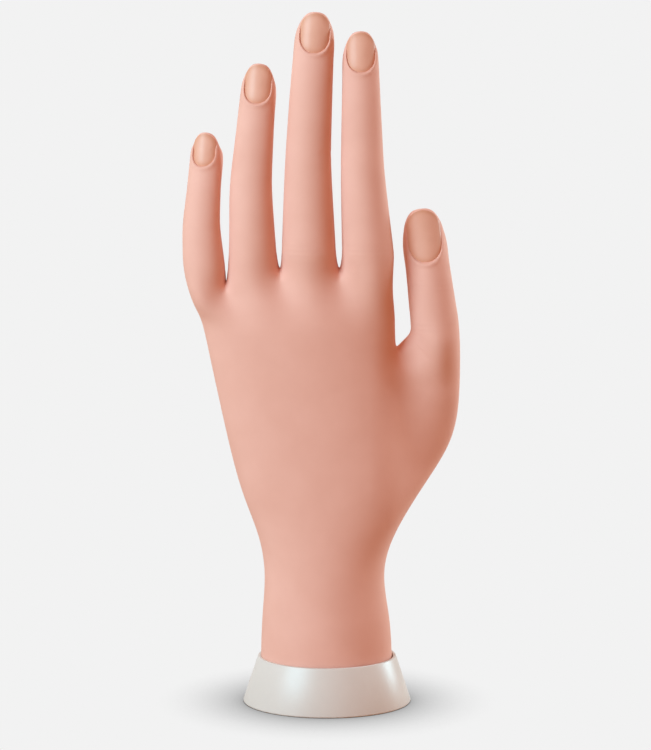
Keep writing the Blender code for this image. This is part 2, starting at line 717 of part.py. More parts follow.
def skin_lengths(cast):
    """Splits the cut cast into one object per loose length, named after the bone inside it."""
    bm = bmesh.new()
    bm.from_mesh(cast.data)
    bpy.data.objects.remove(cast, do_unlink=True)
    middles = {"palm_skin": Vector((0.0, 0.0, at_height(PALM_LEVELS[THUMB_OPENING][0])))}
    for digit in DIGITS:
        stops = digit.joints[:-1] + [digit.tip]
        for k, part in enumerate(digit.bones):
            middles[f"{digit.name}_{part}_skin"] = (stops[k] + stops[k + 1]) / 2
    lengths = {}
    left = set(bm.verts)
    while left:
        island = {left.pop()}
        rim = list(island)
        while rim:
            for edge in rim.pop().link_edges:
                for vert in edge.verts:
                    if vert in left:
                        left.discard(vert)
                        island.add(vert)
                        rim.append(vert)
        low = Vector([min(v.co[i] for v in island) for i in range(3)])
        high = Vector([max(v.co[i] for v in island) for i in range(3)])
        name = min(middles, key=lambda n: (middles[n] - (low + high) / 2).length)
        piece = bm.copy()
        piece.verts.ensure_lookup_table()
        indices = {v.index for v in island}
        bmesh.ops.delete(piece, geom=[v for v in piece.verts if v.index not in indices], context="VERTS")
        lengths[name] = from_bmesh(name, piece)
    bm.free()
    return lengths


def cast_skin():
    cast = hand_cage()
    inside = [plate_blank(GAP), socket_blank(GAP), socket_tab(GAP)] + plate_screws(GAP)
    for digit in DIGITS:
        inside += [bone_blank("pocket", digit, k, GAP) for k in range(len(digit.bones))]
        inside += nail_pocket(digit)
    inside += [bend_notch(digit, k) for digit in DIGITS for k in range(len(digit.bones))]
    combine(cast, inside, "DIFFERENCE")
    return skin_lengths(cast)


# Base

def base():
    """A solid oval frustum with a sunk seat for the wrist and a spigot for its socket."""
    made = cylinder("base", BASE_WIDTH / 2, BASE_HEIGHT, (0, 0, BASE_HEIGHT / 2), UP, BASE_TOP_WIDTH / 2, 48,
                    BASE_ROUNDNESS)
    seat = BASE_HEIGHT - SEAT_DEPTH
    tall = SEAT_DEPTH * 2
    recess = cylinder("recess", wrist_half_width(), tall, (wrist_middle(), 0, seat + tall / 2), UP,
                      sides=48, squeeze=(PALM_LEVELS[0][3] + GAP) / wrist_half_width())
    combine(made, [recess], "DIFFERENCE")
    foot = seat / 2
    shoulder = WRIST_Z + SPIGOT_HEIGHT - SPIGOT_LEAD
    spigot = cylinder("spigot", SPIGOT_RADIUS, shoulder - foot, (0, 0, (shoulder + foot) / 2), UP, sides=32)
    lead = cylinder("lead", SPIGOT_RADIUS, SPIGOT_LEAD, (0, 0, shoulder + SPIGOT_LEAD / 2), UP,
                    SPIGOT_RADIUS - SPIGOT_LEAD, 32)
    return combine(made, [spigot, lead], "UNION")


def wrist_half_width():
    return (PALM_LEVELS[0][2] - PALM_LEVELS[0][1]) / 2


def wrist_middle():
    return (PALM_LEVELS[0][2] + PALM_LEVELS[0][1]) / 2


# Assembly

stand = empty("stand", (0.0, 0.0, 0.0))
hand = empty("hand", (0.0, 0.0, WRIST_Z), stand)
finish(base(), BASE_LOOK, stand)
finish(wrist_socket(), BONE_LOOK, hand)
finish(palm_plate(), BONE_LOOK, hand)
for screw in plate_screws():
    finish(screw, STEEL_LOOK, hand)
skins = cast_skin()
finish(skins["palm_skin"], SKIN_LOOK, hand)
for digit in DIGITS:
    carrier = hand
    for k, part in enumerate(digit.bones):
        finish(pin(digit, k), STEEL_LOOK, carrier)
        carrier = empty(f"{digit.name}_{part}", digit.joints[k], carrier)
        finish(bone(digit, k), BONE_LOOK, carrier)
        finish(skins[f"{digit.name}_{part}_skin"], SKIN_LOOK, carrier)
    finish(nail(digit), NAIL_LOOK, empty(f"{digit.name}_nail_seat", digit.last, carrier))
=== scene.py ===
"""Nail practice hand: a soft cast hand with slip-in nails, plugged onto an oval plastic base."""

import json
import math

import bmesh
import bpy
import numpy as np
from mathutils import Matrix, Vector

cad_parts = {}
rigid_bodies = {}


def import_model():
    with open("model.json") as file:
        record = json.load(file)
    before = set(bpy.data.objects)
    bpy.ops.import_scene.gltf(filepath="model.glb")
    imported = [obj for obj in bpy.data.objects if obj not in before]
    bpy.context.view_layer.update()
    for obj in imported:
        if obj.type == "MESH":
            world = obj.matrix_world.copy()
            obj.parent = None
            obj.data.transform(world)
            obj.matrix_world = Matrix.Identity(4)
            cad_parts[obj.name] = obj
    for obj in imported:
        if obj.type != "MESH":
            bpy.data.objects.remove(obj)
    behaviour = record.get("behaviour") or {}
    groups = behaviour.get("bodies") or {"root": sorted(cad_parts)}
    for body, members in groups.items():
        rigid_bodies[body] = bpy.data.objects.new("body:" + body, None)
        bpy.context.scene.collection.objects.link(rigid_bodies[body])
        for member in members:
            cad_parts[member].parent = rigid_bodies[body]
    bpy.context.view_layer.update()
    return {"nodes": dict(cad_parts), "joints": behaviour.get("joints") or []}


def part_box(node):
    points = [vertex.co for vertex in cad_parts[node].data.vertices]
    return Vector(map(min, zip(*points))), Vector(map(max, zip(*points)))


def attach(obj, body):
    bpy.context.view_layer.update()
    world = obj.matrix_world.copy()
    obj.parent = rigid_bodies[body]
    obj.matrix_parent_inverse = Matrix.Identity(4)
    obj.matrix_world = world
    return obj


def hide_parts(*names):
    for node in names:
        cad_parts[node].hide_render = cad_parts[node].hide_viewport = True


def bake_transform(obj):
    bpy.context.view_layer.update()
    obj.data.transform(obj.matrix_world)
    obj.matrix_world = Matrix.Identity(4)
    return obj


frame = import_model()

# Camera
# A long lens a metre away, a little above the hand and looking slightly down, as in a product shot.

AIM = Vector((-0.0005, 0.0, 0.1087))

scene = bpy.context.scene
scene.view_settings.view_transform = "Standard"
camera = bpy.data.objects.new("camera", bpy.data.cameras.new("camera"))
camera.data.lens = 149.0
camera.data.sensor_width = 36.0
camera.location = (-0.0005, -1.0, 0.258)
camera.rotation_euler = (AIM - camera.location).to_track_quat("-Z", "Y").to_euler()
scene.collection.objects.link(camera)
scene.camera = camera

# Floor and light
# A white paper sweep shows as one pale tone, with the soft shadow of the base on it. A large soft lamp is
# in front on the left, a small pale one behind on the right. The sky is warm in front and paler behind.

PAPER = (0.888, 0.888, 0.888, 1.0)
PAPER_BOUNCE = (0.52, 0.31, 0.20, 1.0)
SHADOW_REACH = 0.030
SHADOW_DEPTH = 1.9
FLOOR_RADIUS = 12.0
FRONT_SKY = (0.49, 0.135, 0.03)
REAR_SKY = (0.74, 0.58, 0.44)
SKY_CHANGE = (-0.3, 0.5)


def new_material(name):
    """A material with its node tree, its output and no shader yet."""
    made = bpy.data.materials.new(name)
    made.use_nodes = True
    tree = made.node_tree
    tree.nodes.clear()
    output = tree.nodes.new("ShaderNodeOutputMaterial")
    return made, tree, output


def add(tree, kind, **values):
    """A node with its options and input values set by name."""
    node = tree.nodes.new(kind)
    for name, value in values.items():
        label = name.replace("_", " ").title()
        if label in node.inputs:
            node.inputs[label].default_value = value
        else:
            setattr(node, name, value)
    return node


def mixed_colour(tree, share, first, second):
    """The mix of two colours by a share between 0 and 1. The first may come from another node."""
    node = add(tree, "ShaderNodeMix", data_type="RGBA")
    ends = [socket for socket in node.inputs if socket.type == "RGBA"]
    tree.links.new(share, node.inputs[0])
    if isinstance(first, bpy.types.NodeSocket):
        tree.links.new(first, ends[0])
    else:
        ends[0].default_value = (*first, 1.0)
    ends[1].default_value = (*second, 1.0)
    return next(socket for socket in node.outputs if socket.type == "RGBA")


def backdrop_rays(tree):
    """1 for the rays that show the backdrop: from the camera, off shiny surfaces or through clear ones."""
    rays = add(tree, "ShaderNodeLightPath")
    straight = add(tree, "ShaderNodeMath", operation="MAXIMUM")
    tree.links.new(rays.outputs["Is Camera Ray"], straight.inputs[0])
    tree.links.new(rays.outputs["Is Glossy Ray"], straight.inputs[1])
    shown = add(tree, "ShaderNodeMath", operation="MAXIMUM")
    tree.links.new(straight.outputs[0], shown.inputs[0])
    tree.links.new(rays.outputs["Is Transmission Ray"], shown.inputs[1])
    return shown.outputs[0]


def show_backdrop(tree, lighting, backdrop, output):
    """Lets one shader light the hand while another is what the camera sees."""
    both = add(tree, "ShaderNodeMixShader")
    tree.links.new(backdrop_rays(tree), both.inputs[0])
    tree.links.new(lighting.outputs[0], both.inputs[1])
    tree.links.new(backdrop.outputs[0], both.inputs[2])
    tree.links.new(both.outputs[0], output.inputs["Surface"])


paper, tree, output = new_material("paper")
shade = add(tree, "ShaderNodeAmbientOcclusion", samples=16, distance=SHADOW_REACH)
deepen = add(tree, "ShaderNodeMath", operation="POWER")
deepen.inputs[1].default_value = SHADOW_DEPTH
glow = add(tree, "ShaderNodeEmission", color=PAPER)
tree.links.new(shade.outputs["AO"], deepen.inputs[0])
tree.links.new(deepen.outputs[0], glow.inputs["Strength"])
show_backdrop(tree, add(tree, "ShaderNodeBsdfDiffuse", color=PAPER_BOUNCE), glow, output)

bm = bmesh.new()
bmesh.ops.create_circle(bm, cap_ends=True, segments=64, radius=FLOOR_RADIUS)
floor_mesh = bpy.data.meshes.new("floor")
bm.to_mesh(floor_mesh)
bm.free()
floor = bpy.data.objects.new("floor", floor_mesh)
floor_mesh.materials.append(paper)
scene.collection.objects.link(floor)

world = bpy.data.worlds.new("studio")
world.use_nodes = True
scene.world = world
tree = world.node_tree
tree.nodes.clear()
toward = add(tree, "ShaderNodeTexCoord")
split = add(tree, "ShaderNodeSeparateXYZ")
behind = add(tree, "ShaderNodeMapRange", interpolation_type="SMOOTHSTEP",
             from_min=SKY_CHANGE[0], from_max=SKY_CHANGE[1])
sky = add(tree, "ShaderNodeBackground", strength=1.0)
tree.links.new(toward.outputs["Generated"], split.inputs[0])
tree.links.new(split.outputs["Y"], behind.inputs["Value"])
tree.links.new(mixed_colour(tree, behind.outputs["Result"], FRONT_SKY, REAR_SKY), sky.inputs["Color"])
seen_sky = add(tree, "ShaderNodeBackground", color=PAPER, strength=1.0)
show_backdrop(tree, sky, seen_sky, add(tree, "ShaderNodeOutputWorld"))


def soft_lamp(name, place, size, watts, colour):
    """A square soft lamp aimed at the middle of the hand."""
    lamp = bpy.data.objects.new(name, bpy.data.lights.new(name, "AREA"))
    lamp.data.size = size
    lamp.data.energy = watts
    lamp.data.color = colour
    lamp.location = place
    lamp.rotation_euler = (AIM - Vector(place)).to_track_quat("-Z", "Y").to_euler()
    scene.collection.objects.link(lamp)


soft_lamp("key", place=(-0.86, -0.80, 0.76), size=0.7, watts=16.0, colour=(0.655, 1.085, 1.25))
soft_lamp("edge", place=(0.80, 0.32, 0.30), size=0.30, watts=4.6, colour=(0.72, 1.08, 1.20))

# Base
# The real base is one moulding in milky white plastic: a low oval frustum with a thin rim that the wrist
# sinks into, and a spigot that the hand is plugged onto. It has a satin shine and softly rounded edges.

BASE_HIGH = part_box("base")[1]
BASE_HALF_WIDTH = BASE_HIGH.x
BASE_HALF_DEPTH = BASE_HIGH.y
BASE_HEIGHT = 0.0154
RIM_HALF_WIDTH = 0.0227
RIM_HALF_DEPTH = RIM_HALF_WIDTH * BASE_HALF_DEPTH / BASE_HALF_WIDTH
SEAT_HALF_WIDTH = 0.0218
SEAT_HALF_DEPTH = 0.0187
SEAT_HEIGHT = 0.0134
SPIGOT_RADIUS = 0.0092
SPIGOT_TOP = BASE_HIGH.z
BASE_SIDES = 128
CORNER_ROUND = 0.0006
RIM_ROUND = 0.00015
SHARP_ANGLE = math.radians(50.0)
PLASTIC_BLOTCH = 55.0
PLASTIC_GRAIN = 900.0
BLOTCH_SPAN = (0.3, 0.7)
GRAIN_HEIGHT = 0.0002


def place_loop(loop, points):
    """Puts the vertices of a loop at new places."""
    for vert, point in zip(loop, points):
        vert.co = point


def first_loop(bm, points, filled):
    """A closed loop of vertices at the given points, with or without a face across it."""
    loop = list(bmesh.ops.create_circle(bm, cap_ends=filled, segments=len(points), radius=1.0)["verts"])
    place_loop(loop, points)
    return loop


def loop_edges(bm, loop):
    """The edges of a closed loop of vertices."""
    return [bm.edges.get((a, b)) for a, b in zip(loop, loop[1:] + loop[:1])]


def grow(bm, loop, points, mark=0):
    """Extrudes a closed loop of vertices to new places and returns the new loop in the same order."""
    made = bmesh.ops.extrude_edge_only(bm, edges=loop_edges(bm, loop))["geom"]
    fresh = set()
    for item in made:
        if isinstance(item, bmesh.types.BMVert):
            fresh.add(item)
        elif isinstance(item, bmesh.types.BMFace):
            item.material_index = mark
    new_loop = [next(e.other_vert(v) for e in v.link_edges if e.other_vert(v) in fresh) for v in loop]
    place_loop(new_loop, points)
    return new_loop


def round_edges(bm, edges, radius, steps):
    """Rounds edges off in a few even steps."""
    bmesh.ops.bevel(bm, geom=edges, offset=radius, offset_type="OFFSET", segments=steps, profile=0.5,
                    affect="EDGES", material=-1, clamp_overlap=True)


def oval_points(half_width, half_depth, height):
    """Points round a level oval at a height, from its right end."""
    turns = [2.0 * math.pi * k / BASE_SIDES for k in range(BASE_SIDES)]
    return [Vector((half_width * math.cos(t), half_depth * math.sin(t), height)) for t in turns]


def add_object(name, bm, look):
    """Turns a finished bmesh into an object of the scene with one material."""
    bmesh.ops.recalc_face_normals(bm, faces=bm.faces)
    mesh = bpy.data.meshes.new(name)
    bm.to_mesh(mesh)
    bm.free()
    mesh.shade_smooth()
    mesh.materials.append(look)
    made = bpy.data.objects.new(name, mesh)
    scene.collection.objects.link(made)
    return made


def grain_group():
    """A node group of two noises in object space, broad blotches and a fine grain, at scales it is given."""
    group = bpy.data.node_groups.new("moulded_grain", "ShaderNodeTree")
    for name in ("Blotch Scale", "Grain Scale"):
        group.interface.new_socket(name, in_out="INPUT", socket_type="NodeSocketFloat")
    for name in ("Blotch", "Grain"):
        group.interface.new_socket(name, in_out="OUTPUT", socket_type="NodeSocketFloat")
    scales = add(group, "NodeGroupInput")
    place = add(group, "ShaderNodeTexCoord")
    blotch = add(group, "ShaderNodeTexNoise", detail=3.0, roughness=0.5)
    grain = add(group, "ShaderNodeTexNoise", detail=2.0, roughness=0.6)
    ends = add(group, "NodeGroupOutput")
    for name, noise in (("Blotch", blotch), ("Grain", grain)):
        group.links.new(place.outputs["Object"], noise.inputs["Vector"])
        group.links.new(scales.outputs[f"{name} Scale"], noise.inputs["Scale"])
        group.links.new(noise.outputs["Fac"], ends.inputs[name])
    return group


moulded_grain = grain_group()


def grained_material(name, blotch_scale, grain_scale, dark, light, rough, relief):
    """A material whose colour drifts in broad blotches, with a fine grain in its roughness and relief."""
    made, tree, output = new_material(name)
    shader = add(tree, "ShaderNodeBsdfPrincipled")
    noise = add(tree, "ShaderNodeGroup", node_tree=moulded_grain,
                blotch_scale=blotch_scale, grain_scale=grain_scale)
    spread = add(tree, "ShaderNodeMapRange", from_min=BLOTCH_SPAN[0], from_max=BLOTCH_SPAN[1])
    dull = add(tree, "ShaderNodeMapRange", to_min=rough[0], to_max=rough[1])
    bump = add(tree, "ShaderNodeBump", strength=relief, distance=GRAIN_HEIGHT)
    tree.links.new(noise.outputs["Blotch"], spread.inputs["Value"])
    tree.links.new(mixed_colour(tree, spread.outputs["Result"], dark, light), shader.inputs["Base Color"])
    tree.links.new(noise.outputs["Grain"], dull.inputs["Value"])
    tree.links.new(dull.outputs["Result"], shader.inputs["Roughness"])
    tree.links.new(noise.outputs["Grain"], bump.inputs["Height"])
    tree.links.new(bump.outputs["Normal"], shader.inputs["Normal"])
    tree.links.new(shader.outputs[0], output.inputs["Surface"])
    return made


milky = grained_material("milky_plastic", PLASTIC_BLOTCH, PLASTIC_GRAIN, dark=(0.67, 0.62, 0.575),
                         light=(0.72, 0.67, 0.625), rough=(0.32, 0.42), relief=0.04)

bm = bmesh.new()
loops = [first_loop(bm, oval_points(BASE_HALF_WIDTH, BASE_HALF_DEPTH, 0.0), filled=True)]
for half_width, half_depth, height in (
    (RIM_HALF_WIDTH, RIM_HALF_DEPTH, BASE_HEIGHT),
    (SEAT_HALF_WIDTH, SEAT_HALF_DEPTH, BASE_HEIGHT),
    (SEAT_HALF_WIDTH, SEAT_HALF_DEPTH, SEAT_HEIGHT),
    (SPIGOT_RADIUS, SPIGOT_RADIUS, SEAT_HEIGHT),
    (SPIGOT_RADIUS, SPIGOT_RADIUS, SPIGOT_TOP),
):
    loops.append(grow(bm, loops[-1], oval_points(half_width, half_depth, height)))
bm.faces.new(loops[-1])
round_edges(bm, loop_edges(bm, loops[0]) + loop_edges(bm, loops[-1]), CORNER_ROUND, steps=4)
round_edges(bm, loop_edges(bm, loops[1]) + loop_edges(bm, loops[2]), RIM_ROUND, steps=2)
base = add_object("base_moulding", bm, milky)
base.data.set_sharp_from_angle(angle=SHARP_ANGLE)
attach(base, "stand")
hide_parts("base")

# Skeleton
# Inside the cast are a moulded socket, a palm plate screwed to it and two or three small bones for each
# digit, all in ivory plastic, with bright steel pins and screws. They go together before the hand is cast.


def shader_of(look):
    """The one shader of a grained material."""
    return look.node_tree.nodes["Principled BSDF"]


ivory = grained_material("ivory_plastic", PLASTIC_BLOTCH, PLASTIC_GRAIN, dark=(0.78, 0.74, 0.64),
                         light=(0.84, 0.81, 0.73), rough=(0.38, 0.50), relief=0.06)
steel = grained_material("pin_steel", blotch_scale=300.0, grain_scale=2500.0, dark=(0.52, 0.52, 0.54),
                         light=(0.64, 0.64, 0.66), rough=(0.22, 0.36), relief=0.03)
shader_of(steel).inputs["Metallic"].default_value = 1.0

for name, node in frame["nodes"].items():
    if name.endswith(("_bone", "palm_plate", "wrist_socket")):
        node.data.materials.clear()
        node.data.materials.append(ivory)
    elif name.endswith(("_pin", "_screw")):
        node.data.materials.clear()
        node.data.materials.append(steel)

# Cast hand
# The hand is cast in soft pink PVC over the skeleton, in one piece, so it has no seams and bends at the
# joints. A coarse cage grows from the wrist up and is smoothed, then nail beds and creases are pressed in.

WRIST_Z = 0.0137
HAND_LENGTH = 0.2116
# Sections of the palm: share of the hand's length, left edge, right edge, depth of the back and of the palm.
PALM_LEVELS = (
    (0.0000, -0.0222, 0.0219, 0.0184, 0.0184),
    (0.0030, -0.0222, 0.0219, 0.0184, 0.0184),
    (0.0685, -0.0219, 0.0214, 0.0174, 0.0174),
    (0.1394, -0.0202, 0.0180, 0.0158, 0.0160),
    (0.2032, -0.0227, 0.0224, 0.0150, 0.0164),
    (0.2694, -0.0291, 0.0315, 0.0146, 0.0174),
    (0.3781, -0.0343, 0.0276, 0.0140, 0.0166),
    (0.4868, -0.0391, 0.0228, 0.0132, 0.0136),
    (0.5388, -0.0413, 0.0230, 0.0124, 0.0114),
)
WRIST_LEVELS = 4
WRIST_POWER = 2.0
PALM_POWER = 2.1
EDGE_LANE = 0.36
# The thumb grows out round this section of the palm, at this point of the section.
THUMB_LEVEL = 6
THUMB_EDGE = 10
# Rings of the pocket in the cut end of the wrist: half width, half depth and height.
WRIST_POCKET = (
    (0.0211, 0.0176, 0.0),
    (0.0130, 0.0130, 0.0),
    (0.0122, 0.0122, 0.0),
    (0.0122, 0.0122, 0.0008),
    (0.0122, 0.0122, 0.0285),
)
# Webs between the fingers: place across and share of the hand's length.
WEBS = ((-0.0328, 0.5917), (-0.0152, 0.6153), (0.0040, 0.6153))
WEB_DEPTH = 0.0048
WEB_VALLEY = 0.0048
KNUCKLE_LEVEL = 0.5931
# Points round a finger's root: shares of its half width across and through it, and a rise.
KNUCKLE_TOP = (0.0, 1.10, 0.001)
LITTLE_EDGE = (-0.40, 0.84, -0.001)
LITTLE_SIDE = (-0.60, 0.0, 0.0)
INDEX_EDGE = (0.72, 0.80, -0.002)
INDEX_SIDE = (1.06, 0.0, -0.002)
RING_SIDES = 8
ROOT_RING_RISE = 0.0036
ROOT_RING_ROOM = 0.003
CUTICLE_RING_DROP = 0.0010
DEPTH_AT_ROOT = 0.98
# Rings that close a fingertip: distance below the tip and share of the width at the nail.
TIP_RINGS = ((0.0044, 0.90), (0.0007, 0.62), (-0.0005, 0.28))
TIP_LIFT = 0.80
THUMB_WEB_X = 0.0280
THUMB_WEB_LEVEL = 0.512
THUMB_WEB_REACH = 0.0075
THUMB_WEB_ROUNDS = 25
SMOOTH_STEPS = 4
UP = Vector((0.0, 0.0, 1.0))
HINGES = {j["name"]: Vector(j["pos_m"]) for j in frame["joints"] if j["type"] == "hinge"}


def at_height(share):
    """Height above the floor of a share of the hand's length."""
    return WRIST_Z + share * HAND_LENGTH


class Digit:
    """A finger or the thumb: its joints, the middles and widths of its cast there, and its nail.

    The cast sways sideways off each joint and lies forward of it, towards the back of the hand. The tip is a
    place seen from the last joint, and its depth a share of the width there.
    """

    def __init__(self, name, sway, tip, widths, nail_width, nail_length, nail_roll,
                 forward=0.0, tip_depth=0.80):
        self.name = name
        self.joints = [pos for joint, pos in HINGES.items() if joint.startswith(name)]
        self.parts = ("root", "mid", "tip") if len(self.joints) == 3 else ("root", "tip")
        self.widths = widths
        self.tip_depth = tip_depth
        self.nail_width = nail_width
        self.nail_length = nail_length
        self.nail_roll = math.radians(nail_roll)
        self.centres = [j + Vector((s, -forward, 0.0)) for j, s in zip(self.joints, sway)]
        self.last = self.centres[-1]
        self.tip = self.joints[-1] + Vector(tip) - Vector((0.0, forward, 0.0))
        self.centres.append(self.tip)
        self.along = (self.tip - self.last).normalized()

    def nail_middle(self):
        """A point on the finger's middle line, half way along the nail."""
        return self.tip - self.along * self.nail_length * 0.5

    def spread(self, height):
        """Middle and half width of the cast finger at a height."""
        middles = self.centres[:-1] + [self.nail_middle(), self.tip]
        halves = [w / 2 for w in self.widths] + [self.widths[-1] / 2]
        k = 0
        while k < len(middles) - 2 and height > middles[k + 1].z:
            k += 1
        share = (height - middles[k].z) / (middles[k + 1].z - middles[k].z)
        return middles[k].lerp(middles[k + 1], share), halves[k] + (halves[k + 1] - halves[k]) * share

    def axes(self, along):
        """Directions to the side and out of the back of a section across the finger, at the nail's roll."""
        side = Vector((along.z, 0.0, -along.x)).normalized()
        back = side.cross(along).normalized()
        turn = Matrix.Rotation(-self.nail_roll, 3, along)
        return turn @ side, turn @ back


LITTLE = Digit("little_finger", sway=(0.0005, -0.0005, 0.0004), tip=(0.0016, 0.0040, 0.0174),
               widths=(0.0138, 0.0122, 0.0110, 0.0103),
               nail_width=0.0074, nail_length=0.0108, nail_roll=14.0)
RING = Digit("ring_finger", sway=(0.0001, -0.0006, 0.0009), tip=(0.0026, 0.0040, 0.0206),
             widths=(0.0152, 0.0136, 0.0121, 0.0112),
             nail_width=0.0086, nail_length=0.0127, nail_roll=5.0)
MIDDLE = Digit("middle_finger", sway=(-0.0003, -0.0006, 0.0006), tip=(0.0021, 0.0040, 0.0227),
               widths=(0.0174, 0.0147, 0.0136, 0.0126),
               nail_width=0.0096, nail_length=0.0130, nail_roll=0.0)
INDEX = Digit("index_finger", sway=(0.0014, -0.0003, -0.0007), tip=(-0.0010, 0.0040, 0.0221),
              widths=(0.0166, 0.0140, 0.0125, 0.0114),
              nail_width=0.0092, nail_length=0.0130, nail_roll=-2.0)
THUMB = Digit("thumb", sway=(0.0018, 0.0001), tip=(-0.0030, 0.0034, 0.0248),
              widths=(0.0160, 0.0148, 0.0137),
              nail_width=0.0108, nail_length=0.0172, nail_roll=0.0, forward=0.0010, tip_depth=0.98)
FINGERS = (LITTLE, RING, MIDDLE, INDEX)
DIGITS = FINGERS + (THUMB,)
# Rings from the palm's edge to the thumb: middle, lean in degrees, half width, half depth, how far the back
# dips, and how far the point at the web is moved across and up.
THENAR_RINGS = (
    (Vector((0.0327, 0.0040, at_height(0.4135))), 60.0, 0.0184, 0.0096, 0.0024, (0.0, 0.0022)),
    (Vector((0.0366, 0.0028, at_height(0.4641))), 52.0, 0.0118, 0.0090, 0.0026, (-0.0032, 0.0010)),
)
SKIN_NAMES = ["palm_skin"] + [f"{d.name}_{part}_skin" for d in DIGITS for part in d.parts]


def lane_shares():
    """Shares of the palm's width at which the knuckle and web columns run down to the wrist."""
    left = LITTLE.centres[0].x - LITTLE.widths[0] / 2
    right = INDEX.centres[0].x + INDEX.widths[0] / 2
    lanes = [LITTLE.centres[0].x - LITTLE.widths[0] * EDGE_LANE]
    for finger, web in zip(FINGERS, WEBS + (None,)):
        lanes.append(finger.centres[0].x)
        lanes.append(web[0] if web else finger.centres[0].x + finger.widths[0] * EDGE_LANE)
    return [(x - left) / (right - left) for x in lanes]


def level_points(level):
    """A section of the palm: one edge, nine points over the back, the other edge, nine under the palm."""
    share, left, right, back, front = level
    z = at_height(share)
    xs = [left + (right - left) * lane for lane in lane_shares()]
    power = WRIST_POWER if level in PALM_LEVELS[:WRIST_LEVELS] else PALM_POWER
    bulge = [(1 - abs(2 * s - 1) ** power) ** (1 / power) for s in lane_shares()]
    backs = [Vector((x, -back * b, z)) for x, b in zip(xs, bulge)]
    fronts = [Vector((x, front * b, z)) for x, b in zip(xs, bulge)]
    return [Vector((left, 0.0, z))] + backs + [Vector((right, 0.0, z))] + fronts[::-1]


def pocket_points(half_width, half_depth, height):
    """A ring in the cut end of the wrist, in the order of the wrist's own section."""
    points = []
    for outer in level_points(PALM_LEVELS[0]):
        across = outer.x / PALM_LEVELS[0][2]
        through = outer.y / PALM_LEVELS[0][3]
        reach = math.hypot(across, through)
        points.append(Vector((half_width * across / reach, half_depth * through / reach, WRIST_Z + height)))
    return points


def root_point(finger, place, face=1.0):
    """A point beside a finger's root, on its palm face or, with -1, on its back."""
    across, through, rise = place
    half = finger.widths[0] / 2
    z = at_height(KNUCKLE_LEVEL) + finger.joints[0].z - MIDDLE.joints[0].z
    middle = Vector((finger.centres[0].x, finger.centres[0].y, z))
    return middle + Vector((half * across, half * through * face, rise))


def knuckle_row(face):
    """The nine points across the finger roots on one face, which dip into a valley at each web."""
    row = [root_point(LITTLE, LITTLE_EDGE, face)]
    for finger, web in zip(FINGERS, WEBS + (None,)):
        row.append(root_point(finger, KNUCKLE_TOP, face))
        if web:
            row.append(Vector((web[0], WEB_DEPTH * face, at_height(web[1]) - WEB_VALLEY)))
    return row + [root_point(INDEX, INDEX_EDGE, face)]


def knuckle_points():
    """The loop at the finger roots, in the order of the palm's sections."""
    left = root_point(LITTLE, LITTLE_SIDE)
    right = root_point(INDEX, INDEX_SIDE)
    return [left] + knuckle_row(-1.0) + [right] + knuckle_row(1.0)[::-1]


def ring_points(middle, side, back, half_width, half_depth):
    """A section across a finger, starting on its left and going over its back."""
    swell = 3.0 / (2.0 + math.cos(2.0 * math.pi / RING_SIDES))
    points = []
    for k in range(RING_SIDES):
        angle = math.pi - 2.0 * math.pi * k / RING_SIDES
        across = side * (half_width * math.cos(angle))
        through = back * (half_depth * math.sin(angle))
        points.append(middle + (across + through) * swell)
    return points


def finger_rings(digit, first):
    """Sections of a finger from a first height to its round tip, each with the length of skin below it."""
    joints = digit.centres[:-1]
    heights = [(first, 0)]
    if joints[0].z - first > ROOT_RING_ROOM:
        heights.append((joints[0].z, 1))
    for k, (low, high) in enumerate(zip(joints, joints[1:])):
        heights += [((low.z + high.z) / 2, k + 1), (high.z, k + 2)]
    cuticle = digit.tip - digit.along * digit.nail_length
    heights += [(cuticle.z - CUTICLE_RING_DROP, len(joints)), (digit.nail_middle().z, len(joints))]
    rings = []
    for z, length in heights:
        middle, half = digit.spread(z)
        share = max(0.0, min(1.0, (z - joints[0].z) / (cuticle.z - joints[0].z)))
        depth = half * (DEPTH_AT_ROOT + (digit.tip_depth - DEPTH_AT_ROOT) * share)
        along = digit.along if z >= digit.last.z else UP
        side, back = digit.axes(along)
        rings.append((ring_points(middle, side, back, half, depth), length))
    # The tip closes in from the last of those rings.
    for below, share in TIP_RINGS:
        lift = back * (depth * (1.0 - share) * TIP_LIFT)
        middle = digit.tip - digit.along * below + lift
        rings.append((ring_points(middle, side, back, half * share, depth * share), len(joints)))
    return rings


def mark_of(digit, length):
    """Number of the length of skin that a ring of a finger closes: the palm's is 0."""
    return SKIN_NAMES.index(f"{digit.name}_{digit.parts[length - 1]}_skin") if length else 0


# The cage starts at the wrist and grows level by level to the finger roots.
bm = bmesh.new()
levels = [first_loop(bm, level_points(PALM_LEVELS[0]), filled=False)]
for level in PALM_LEVELS[1:]:
    levels.append(grow(bm, levels[-1], level_points(level)))
top = grow(bm, levels[-1], knuckle_points())

# A bridge at each web parts the last loop into four rings, one for each finger.
backs = top[1:THUMB_EDGE]
fronts = top[:THUMB_EDGE:-1]
between = [top[0]]
for (x, share), back, front in zip(WEBS, backs[2::2], fronts[2::2]):
    bridge = bm.verts.new((x, 0.0, at_height(share)))
    bm.edges.new((back, bridge))
    bm.edges.new((bridge, front))
    between.append(bridge)
between.append(top[THUMB_EDGE])
ends = []
for i, finger in enumerate(FINGERS):
    web_tops = [at_height(share) for x, share in WEBS[max(0, i - 1):i + 1]]
    lanes = slice(2 * i, 2 * i + 3)
    ring = [between[i]] + backs[lanes] + [between[i + 1]] + fronts[lanes][::-1]
    for points, length in finger_rings(finger, max(web_tops) + ROOT_RING_RISE):
        ring = grow(bm, ring, points, mark_of(finger, length))
    ends.append((ring, mark_of(finger, len(finger.parts))))

